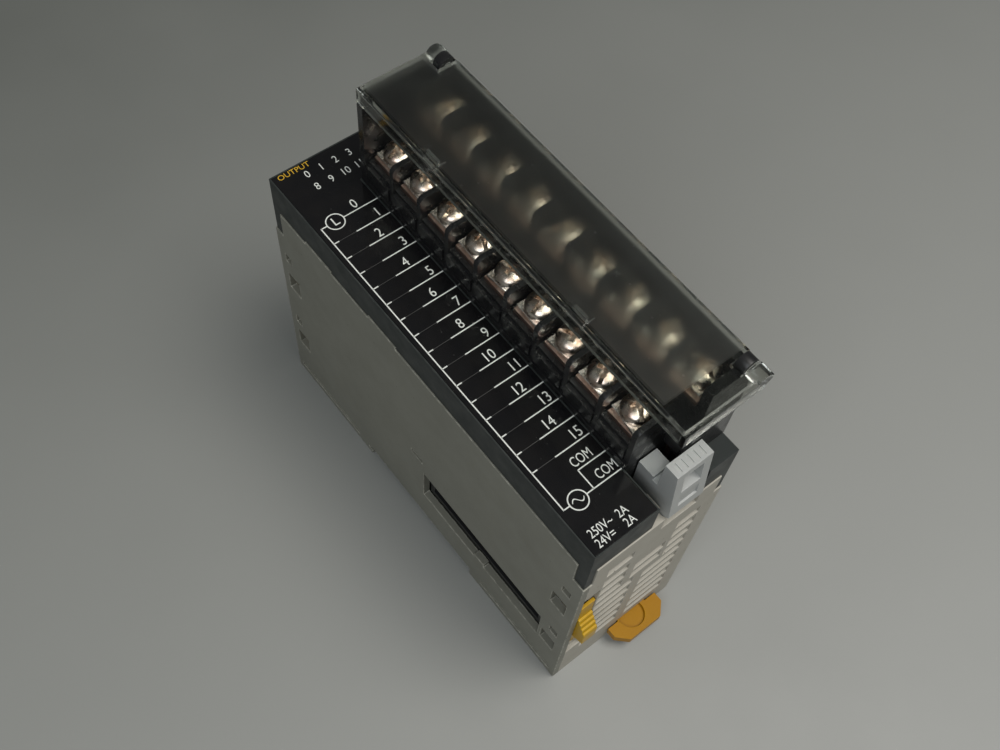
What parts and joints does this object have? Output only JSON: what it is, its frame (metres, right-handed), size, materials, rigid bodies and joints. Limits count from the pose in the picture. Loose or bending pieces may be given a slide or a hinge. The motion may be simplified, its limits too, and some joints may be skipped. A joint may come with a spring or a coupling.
{
  "type": "plc relay output module",
  "caption": "Slim rail-mounted controller output module in a grey case with a dark cap, a removable two-row screw terminal block, a hinged clear cover and lock sliders.",
  "frame": {"origin": "centre of the case's back plane, in the middle of the rail channel", "axes": "+Z from the rail side to the label face, +Y to the upper end, +X to the right side with the bus plug"},
  "size_m": [0.0355, 0.097, 0.089],
  "materials": {
    "case_plastic": "fine matt moulded, warm light grey",
    "panel_plastic": "fine matt moulded, olive grey",
    "cap_plastic": "fine matt moulded, dark grey",
    "label_film": "gloss black film with white print",
    "clear_plastic": "clear moulded light guide",
    "circuit_board": "green solder mask",
    "led": "small milky lamps",
    "connector_black": "black glass-filled plastic",
    "chip_black": "black moulded packages",
    "can_metal": "drawn can",
    "contact_gold": "thin gold over brass",
    "relay_plastic": "dark moulded cases",
    "block_black": "gloss black phenolic",
    "screw_metal": "nickel plate, slightly worn",
    "plate_metal": "bright nickel plate",
    "bar_metal": "coppery plate",
    "cover_plastic": "smoky clear plastic with a frosted top",
    "lever_plastic": "light grey moulded",
    "slider_yellow": "yellow moulded, ribbed",
    "latch_amber": "amber moulded"
  },
  "bodies": {
    "module": {"case_shell": "case_plastic", "side_panel": "panel_plastic", "front_cap": "cap_plastic", "label_panel": "label_film", "light_guide": "clear_plastic", "led_board": "circuit_board", "indicator_leds": "led", "led_header": "connector_black", "main_board": "circuit_board", "bus_board": "circuit_board", "board_link": "connector_black", "bus_controller": "chip_black", "relay_driver_1": "chip_black", "relay_driver_2": "chip_black", "isolator_1": "chip_black", "isolator_2": "chip_black", "reservoir_capacitor": "can_metal", "clock_crystal": "can_metal", "bus_socket": "connector_black", "bus_socket_contacts": "contact_gold", "bus_plug": "connector_black", "bus_plug_contacts": "contact_gold", "terminal_socket": "connector_black", "socket_contacts": "contact_gold", "relay_01": "relay_plastic", "relay_02": "relay_plastic", "relay_03": "relay_plastic", "relay_04": "relay_plastic", "relay_05": "relay_plastic", "relay_06": "relay_plastic", "relay_07": "relay_plastic", "relay_08": "relay_plastic", "relay_09": "relay_plastic", "relay_10": "relay_plastic", "relay_11": "relay_plastic", "relay_12": "relay_plastic", "relay_13": "relay_plastic", "relay_14": "relay_plastic", "relay_15": "relay_plastic", "relay_16": "relay_plastic"},
    "terminal_block": {"block_body": "block_black", "lower_screws": "screw_metal", "upper_screws": "screw_metal", "lower_clamp_plates": "plate_metal", "upper_clamp_plates": "plate_metal", "lower_terminal_bars": "bar_metal", "upper_terminal_bars": "bar_metal"},
    "cover": {"terminal_cover": "cover_plastic"},
    "lever": {"release_lever": "lever_plastic"},
    "upper_lock": {"upper_slider": "slider_yellow"},
    "lower_lock": {"lower_slider": "slider_yellow"},
    "latch": {"rail_latch": "latch_amber"}
  },
  "joints": [
    {"name": "terminal_block_lift", "type": "slide", "parent": "module", "child": "terminal_block", "axis": [0, 0, 1], "range_m": [0, 0.025]},
    {"name": "cover_hinge", "type": "hinge", "parent": "terminal_block", "child": "cover", "pos_m": [0.0136, 0, 0.0873], "axis": [0, 1, 0], "range_deg": [0, 120]},
    {"name": "lever_pivot", "type": "hinge", "parent": "module", "child": "lever", "pos_m": [0.0048, -0.04225, 0.0572], "axis": [1, 0, 0], "range_deg": [0, 35]},
    {"name": "upper_lock_slide", "type": "slide", "parent": "module", "child": "upper_lock", "axis": [0, 0, -1], "range_m": [0, 0.006]},
    {"name": "lower_lock_slide", "type": "slide", "parent": "module", "child": "lower_lock", "axis": [0, 0, -1], "range_m": [0, 0.006]},
    {"name": "latch_slide", "type": "slide", "parent": "module", "child": "latch", "axis": [0, -1, 0], "range_m": [0, 0.004]}
  ]
}
